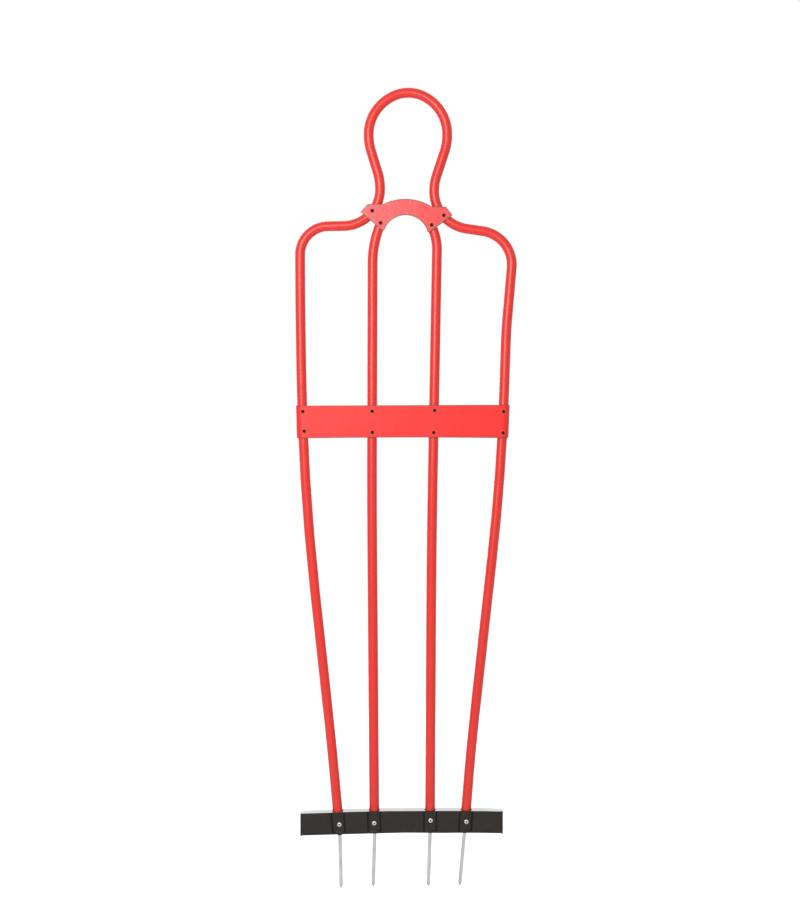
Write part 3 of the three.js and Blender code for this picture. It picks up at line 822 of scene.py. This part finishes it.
def cut_away(piece, name, rings, strips=False):
    """Takes a lofted cutter out of a piece."""
    cutter = bpy.data.objects.new(name, loft(name, rings, strips=strips))
    bpy.context.scene.collection.objects.link(cutter)
    face_outward(cutter.data)
    modifier = piece.modifiers.new("cut", "BOOLEAN")
    modifier.operation = "DIFFERENCE"
    modifier.solver = "EXACT"
    modifier.object = cutter
    graph = bpy.context.evaluated_depsgraph_get()
    piece.data = bpy.data.meshes.new_from_object(piece.evaluated_get(graph))
    piece.modifiers.clear()
    bpy.data.objects.remove(cutter)


def foot_outline(drawn_in, half_length, places, share=1):
    """Plan of the bar, anticlockwise, with a pocket between two creases before every tube. share
    runs from 0, where pockets and creases are flush with the front, to 1."""
    front = -FOOT_DEPTH / 2 + drawn_in
    floor = GROOVE_DEPTH * share
    face = (FOOT_DEPTH / 2 - TUBE_RADIUS - FIT - FOOT_WALL + POCKET_CROWN) * share
    outside = POCKET_HALF + GROOVE_WIDTH + drawn_in
    inside = POCKET_HALF - drawn_in
    middle = POCKET_HALF + GROOVE_WIDTH / 2
    left = [(-outside, 0), (-middle - GROOVE_FLOOR_HALF, floor)]
    left += [(-middle + GROOVE_FLOOR_HALF, floor), (-inside, face)]
    points = [Vector((-half_length, front))]
    for x in places:
        points += [Vector((x + out, front + back)) for out, back in left]
        for step in range(1, POCKET_STEPS):
            out = inside * (2 * step / POCKET_STEPS - 1)
            bowed = POCKET_CROWN * share * (1 - (out / inside) ** 2)
            points.append(Vector((x + out, front + face - bowed)))
        points += [Vector((x - out, front + back)) for out, back in left[::-1]]
    points.append(Vector((half_length, front)))
    filled = []
    for here, after in zip(points, points[1:]):
        steps = max(1, round(abs(after.x - here.x) / FOOT_STEP))
        filled += [here.lerp(after, i / steps) for i in range(steps)]
    filled.append(points[-1])
    behind = [Vector((point.x, -front)) for point in filled]
    return behind[:1] + filled + behind[:0:-1]


def sag(rings):
    """Lowers points by how far the bar hangs at their place: it is bent down from its middle
    to its left end, and a little at its right end."""
    for ring in rings:
        for point in ring:
            left = max(0, SAG_START - point.x)
            right = max(0, point.x - SAG_RIGHT_START)
            point.z -= SAG_SLOPE * left ** 2 / (left + SAG_EASE) + SAG_RIGHT_CURVE * right ** 2


def smooth_step(share):
    return share * share * (3 - 2 * share)


def spike_axis(node):
    """The middle of a spike's upper end, and its tip."""
    points = [vertex.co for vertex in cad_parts[node].data.vertices]
    tip = min(points, key=lambda point: point.z)
    top = max(point.z for point in points)
    face = [point for point in points if point.z > top - SPIKE_CHAMFER / 2]
    return sum(face, Vector()) / len(face), tip.copy()


def spike_radius(node):
    """Half of a spike's thickness, front to back."""
    low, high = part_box(node)
    return (high.y - low.y) / 2


def make_foot_bar():
    low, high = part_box("foot_bar")
    half_length = (high.x - low.x) / 2
    level = FOOT_HEIGHT / 2
    crossings = [crossing(route, side, level) for route, side in FEET]
    places = [x for x, _ in crossings]
    stops = [(-half_length, 0)] + crossings + [(half_length, 0)]

    # (height, how far the outline is drawn in, share of the pockets' depth)
    levels = [(0, FOOT_EDGE + FOOT_RIM, 0)]
    for i in range(FOOT_EDGE_STEPS + 1):
        angle = math.pi / 2 * i / FOOT_EDGE_STEPS
        levels.append((FOOT_EDGE * (1 - math.cos(angle)), FOOT_EDGE * (1 - math.sin(angle)), 0))
    for i in range(CREASE_STEPS + 1):
        share = i / CREASE_STEPS
        levels.append((CREASE_START + CREASE_RISE * share, 0, smooth_step(share)))
    crease_end = FOOT_HEIGHT - FOOT_EDGE
    levels.append((CREASE_START + CREASE_RISE + CREASE_MARGIN, 0, 1))
    levels.append((crease_end - CREASE_FALL - CREASE_MARGIN, 0, 1))
    for i in range(CREASE_STEPS + 1):
        share = 1 - i / CREASE_STEPS
        levels.append((crease_end - CREASE_FALL * share, 0, smooth_step(share)))
    levels += [(FOOT_HEIGHT - height, depth, 0) for height, depth, _ in levels[FOOT_EDGE_STEPS::-1]]
    solid = []
    for height, depth, share in levels:
        outline = inset(foot_outline(0, half_length, places, share), depth)
        up = height / FOOT_HEIGHT
        swollen = height + FOOT_SWELL * (2 * up - 1)
        ring = [Vector((p.x, p.y, swollen)) for p in outline]
        for point in ring:
            behind = point.y / FOOT_DEPTH + 0.5
            lift = value_at(TOP_LIFTS, point.x) + value_at(BACK_RISES, point.x) * behind
            point.z += up * lift - (1 - up) * value_at(BOTTOM_DROPS, point.x)
            if depth <= FOOT_EDGE and abs(point.x) > half_length - depth - FIT:
                point.x = math.copysign(half_length, point.x)
        solid.append(ring)
    lean(solid, stops, level)
    sag(solid)
    mesh = loft("foot_bar_moulding", solid, strips=True)
    piece = finish_mesh("foot_bar_moulding", mesh, foot_black, ["foot_bar"])

    hollow = foot_outline(FOOT_WALL, half_length + FOOT_WALL, places)
    room = []
    for height in (FOOT_WALL, FOOT_HEIGHT - FOOT_WALL):
        room.append([Vector((p.x, p.y, height)) for p in hollow])
    lean(room, stops, level)
    sag(room)
    cut_away(piece, "foot_cavity", room, strips=True)
    for number, (x, slope) in zip(NUMBERS, crossings):
        upwards = Vector((slope, 0, 1)).normalized()
        hole = [(0, TUBE_HOLE_RADIUS), (FOOT_HEIGHT, TUBE_HOLE_RADIUS)]
        cut_away(piece, "tube_hole", lathe(Vector((x, 0, level)), upwards, hole))
        top, tip = spike_axis(f"spike_{number}")
        radius = spike_radius(f"spike_{number}") + SPIKE_HOLE_CLEARANCE
        downwards = (tip - top).normalized()
        start = top + downwards * (top.z - level)
        cut_away(piece, "spike_hole", lathe(start, downwards, [(0, radius), (FOOT_HEIGHT, radius)]))
    shade(piece.data)


def make_spike_lip(number):
    """A raised lip on the bar's underside, where the spike comes out. Its dark band is partly
    painted shade: the shade under the bar put in as a dark part.
    """
    top, tip = spike_axis(f"spike_{number}")
    axis = (tip - top).normalized()
    inner = spike_radius(f"spike_{number}") + FIT
    outer = inner + LIP_WIDTH
    edge = LIP_WIDTH / 3
    drop = LIP_DROPS[number - 1]
    profile = [(-FOOT_WALL / 2, inner), (-FOOT_WALL / 2, outer), (drop - edge, outer)]
    profile += [(drop - edge / 4, outer - edge / 4), (drop, outer - edge), (drop, inner)]
    exit_point = top + axis * (top.z / -axis.z)
    exit_point.z -= value_at(BOTTOM_DROPS, exit_point.x)
    sag([[exit_point]])
    mesh = loft(f"spike_lip_{number}", lathe(exit_point, axis, profile), closed=True)
    finish_mesh(f"spike_lip_{number}", mesh, foot_black, [])


make_foot_bar()
for number in NUMBERS:
    make_spike_lip(number)


def make_end_cap(node):
    """A flange over the bar's end with rounded edges, and the hollow spigot that holds it."""
    low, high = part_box(node)
    outward = math.copysign(1, (low + high).x)
    bar_low, bar_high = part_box("foot_bar")
    start = (bar_high.x if outward > 0 else bar_low.x) + outward * FIT
    end = high.x if outward > 0 else low.x
    half_depth = (high.y - low.y) / 2
    half_height = (high.z - low.z) / 2 + FOOT_SWELL
    centre = (low + high) / 2

    def rectangle(x, across, up, corner):
        signs = ((1, -1), (1, 1), (-1, 1), (-1, -1))
        square = [Vector((across * side, up * level)) for side, level in signs]
        outline = rounded_outline(square, [corner] * len(square), CAP_CORNER_STEPS)
        return [Vector((x, p.x, centre.z + p.y)) for p in outline]

    rings = []
    for i in range(CAP_EDGE_STEPS + 1):
        angle = math.pi / 2 * i / CAP_EDGE_STEPS
        depth = CAP_EDGE * (1 - math.sin(angle))
        x = end - outward * CAP_EDGE * (1 - math.cos(angle))
        rings.append(rectangle(x, half_depth - depth, half_height - depth, 2 * CAP_EDGE - depth))
    rings.append(rectangle(start, half_depth, half_height, 2 * CAP_EDGE))
    spigot_depth = FOOT_DEPTH / 2 - FOOT_WALL - FIT
    spigot_height = FOOT_HEIGHT / 2 - FOOT_WALL - FIT
    inner = start - outward * CAP_SPIGOT
    rings.append(rectangle(start, spigot_depth, spigot_height, CAP_WALL))
    rings.append(rectangle(inner, spigot_depth, spigot_height, CAP_WALL))
    rings.append(rectangle(inner, spigot_depth - CAP_WALL, spigot_height - CAP_WALL, CAP_WALL / 2))
    rings.append(rectangle(start, spigot_depth - CAP_WALL, spigot_height - CAP_WALL, CAP_WALL / 2))
    sag(rings)
    mesh = loft(node + "_moulding", rings)
    finish_mesh(node + "_moulding", mesh, foot_black, [node])


make_end_cap("foot_end_cap_left")
make_end_cap("foot_end_cap_right")


# Spikes

def make_spike(node):
    top, tip = spike_axis(node)
    axis = (tip - top).normalized()
    length = (tip - top).length
    radius = spike_radius(node)
    point = length - SPIKE_POINT
    profile = [(0, radius - SPIKE_CHAMFER)]
    for i in range(SPIKE_STEPS + 1):
        profile.append((SPIKE_CHAMFER + (point - SPIKE_CHAMFER) * i / SPIKE_STEPS, radius))
    for share in POINT_SHARES:
        profile.append((point + SPIKE_POINT * share, radius * (1 - share ** POINT_POWER)))
    wear_and_painted_light = [0] * (SPIKE_STEPS + 1) + POINT_WEAR
    mesh = loft(node + "_rod", lathe(top, axis, profile), wear_and_painted_light=wear_and_painted_light)
    finish_mesh(node + "_rod", mesh, steel, [node])


# Rivets

def make_rivet(node, material, slot, flange, mandrel_share, rim_painted_light, mandrel_painted_shade):
    """A blind rivet: a domed head on a thin flange, with the mandrel's hole in it, and a shank."""
    low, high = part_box(node)
    head = (high.x - low.x) / 2
    rise = head * RIVET_RISE_SHARE
    seat_y = low.y + rise
    mandrel = head * mandrel_share
    shank = head / 2
    centre = Vector(((low.x + high.x) / 2, seat_y, (low.z + high.z) / 2))
    # (place along the rivet, radius, share of painted light)
    rings = [
        (seat_y - high.y, shank * RIVET_TAIL_SHARE, 0),
        (0, shank, 0),
        (0, head + flange, rim_painted_light),
        (RIVET_FLANGE_RISE / 2, head + flange, rim_painted_light),
        (RIVET_FLANGE_RISE, head, rim_painted_light),
    ]
    # The rim's painted light fades over the dome's first ring.
    fading = rim_painted_light / 2
    for turn in RIVET_DOME_TURNS:
        radius = mandrel + (head - mandrel) * math.cos(turn)
        rings.append((rise * math.sin(turn), radius, fading))
        fading = 0
    rings += [
        (rise, mandrel * HOLE_RIM_SHARE, 0),
        (rise * HOLE_EDGE_SHARE, mandrel, mandrel_painted_shade),
        (0, mandrel, mandrel_painted_shade),
        (0, mandrel * MANDREL_END_SHARE, mandrel_painted_shade),
    ]
    profile = [(along, radius) for along, radius, _ in rings]
    wear_and_painted_light = [worn_and_painted_light for _, _, worn_and_painted_light in rings]
    mesh = loft(node + "_head", lathe(centre, FRONT, profile), wear_and_painted_light=wear_and_painted_light)
    finish_mesh(node + "_head", mesh, material, [node])


for number in NUMBERS:
    make_spike(f"spike_{number}")
    for row in ("collar_rivet", "band_rivet_upper", "band_rivet_lower"):
        make_rivet(f"{row}_{number}", dark_lacquer, "dark_rivet", **DARK_RIVET)
    make_rivet(f"foot_rivet_{number}", bright_alloy, "bright_rivet", **BRIGHT_RIVET)
    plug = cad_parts[f"spike_plug_{number}"].data
    plug.materials.clear()
    plug.materials.append(plug_grey)


# Floor, light and camera

def calculate(tree, operation, first, second):
    inputs = {0: first, 1: second}
    return add_node(tree, "ShaderNodeMath", inputs, operation=operation).outputs[0]


def background_rays(tree):
    """1 for the rays that see the white background, 0 for those that only carry light."""
    rays = add_node(tree, "ShaderNodeLightPath", {}).outputs
    sharp = calculate(tree, "MAXIMUM", rays["Is Camera Ray"], rays["Is Glossy Ray"])
    return calculate(tree, "MAXIMUM", sharp, rays["Is Transmission Ray"])


def make_floor():
    height = cad_box[0][2]
    signs = ((-1, -1), (1, -1), (1, 1), (-1, 1))
    corners = [Vector((x * FLOOR_HALF, y * FLOOR_HALF, height)) for x, y in signs]
    mesh = bpy.data.meshes.new("floor")
    mesh.from_pydata(corners, [], [(0, 1, 2, 3)])
    material, tree, shader = start_material("pale_floor")
    tree.nodes.remove(shader)
    matt = add_node(tree, "ShaderNodeBsdfDiffuse", {"Color": rgb(0.8, 0.8, 0.8)})
    strength = calculate(tree, "MULTIPLY", background_rays(tree), FLOOR_GLOW)
    glow = add_node(tree, "ShaderNodeEmission", {"Color": rgb(1, 1, 1), "Strength": strength})
    both = add_node(tree, "ShaderNodeAddShader", {0: matt.outputs[0], 1: glow.outputs[0]})
    tree.links.new(both.outputs[0], tree.nodes["Material Output"].inputs["Surface"])
    mesh.materials.append(material)
    floor = bpy.data.objects.new("floor", mesh)
    bpy.context.scene.collection.objects.link(floor)


def make_world():
    """White to the camera and in reflections. It lights the object as a backdrop behind it and
    a dimmer room round it would."""
    world = bpy.data.worlds.new("studio")
    bpy.context.scene.world = world
    world.use_nodes = True
    tree = world.node_tree
    background = tree.nodes["Background"]
    direction = add_node(tree, "ShaderNodeTexCoord", {}).outputs["Generated"]
    depth = add_node(tree, "ShaderNodeSeparateXYZ", {0: direction}).outputs["Y"]
    room = spread(tree, depth, ROOM_FRONT, ROOM_SIDE, *ROOM_FADE)
    backdrop = spread(tree, depth, 0, 1 - ROOM_SIDE, *BACKDROP_FADE)
    light = calculate(tree, "ADD", room, backdrop)
    level = calculate(tree, "MAXIMUM", light, background_rays(tree))
    background.inputs["Color"].default_value = rgb(1, 1, 1)
    tree.links.new(level, background.inputs["Strength"])


def make_softbox(name, place, target, size, power):
    light = bpy.data.lights.new(name, "AREA")
    light.shape = "RECTANGLE"
    light.size, light.size_y = size
    light.energy = power
    lamp = bpy.data.objects.new(name, light)
    lamp.location = place
    lamp.rotation_euler = (Vector(target) - Vector(place)).to_track_quat("-Z", "Y").to_euler()
    lamp.visible_camera = False
    bpy.context.scene.collection.objects.link(lamp)


def make_camera():
    middle_x = (PHOTO_WIDTH / 2 - PHOTO_MIDDLE_X) * PHOTO_SCALE
    middle_z = (PHOTO_TURF_Y - PHOTO_HEIGHT / 2) * PHOTO_SCALE
    camera = bpy.data.cameras.new("camera")
    camera.sensor_width = SENSOR
    camera.lens = SENSOR * CAMERA_DISTANCE / (PHOTO_HEIGHT * PHOTO_SCALE)
    camera.clip_end = CLIP_END
    view = bpy.data.objects.new("camera", camera)
    view.location = (middle_x, -CAMERA_DISTANCE, middle_z)
    view.rotation_euler = (math.pi / 2, 0, 0)
    bpy.context.scene.collection.objects.link(view)
    bpy.context.scene.camera = view


make_floor()
make_world()
make_softbox("key_softbox", **KEY_SOFTBOX)
make_softbox("back_softbox", **BACK_SOFTBOX)
make_camera()
bpy.context.scene.view_settings.view_transform = "Standard"
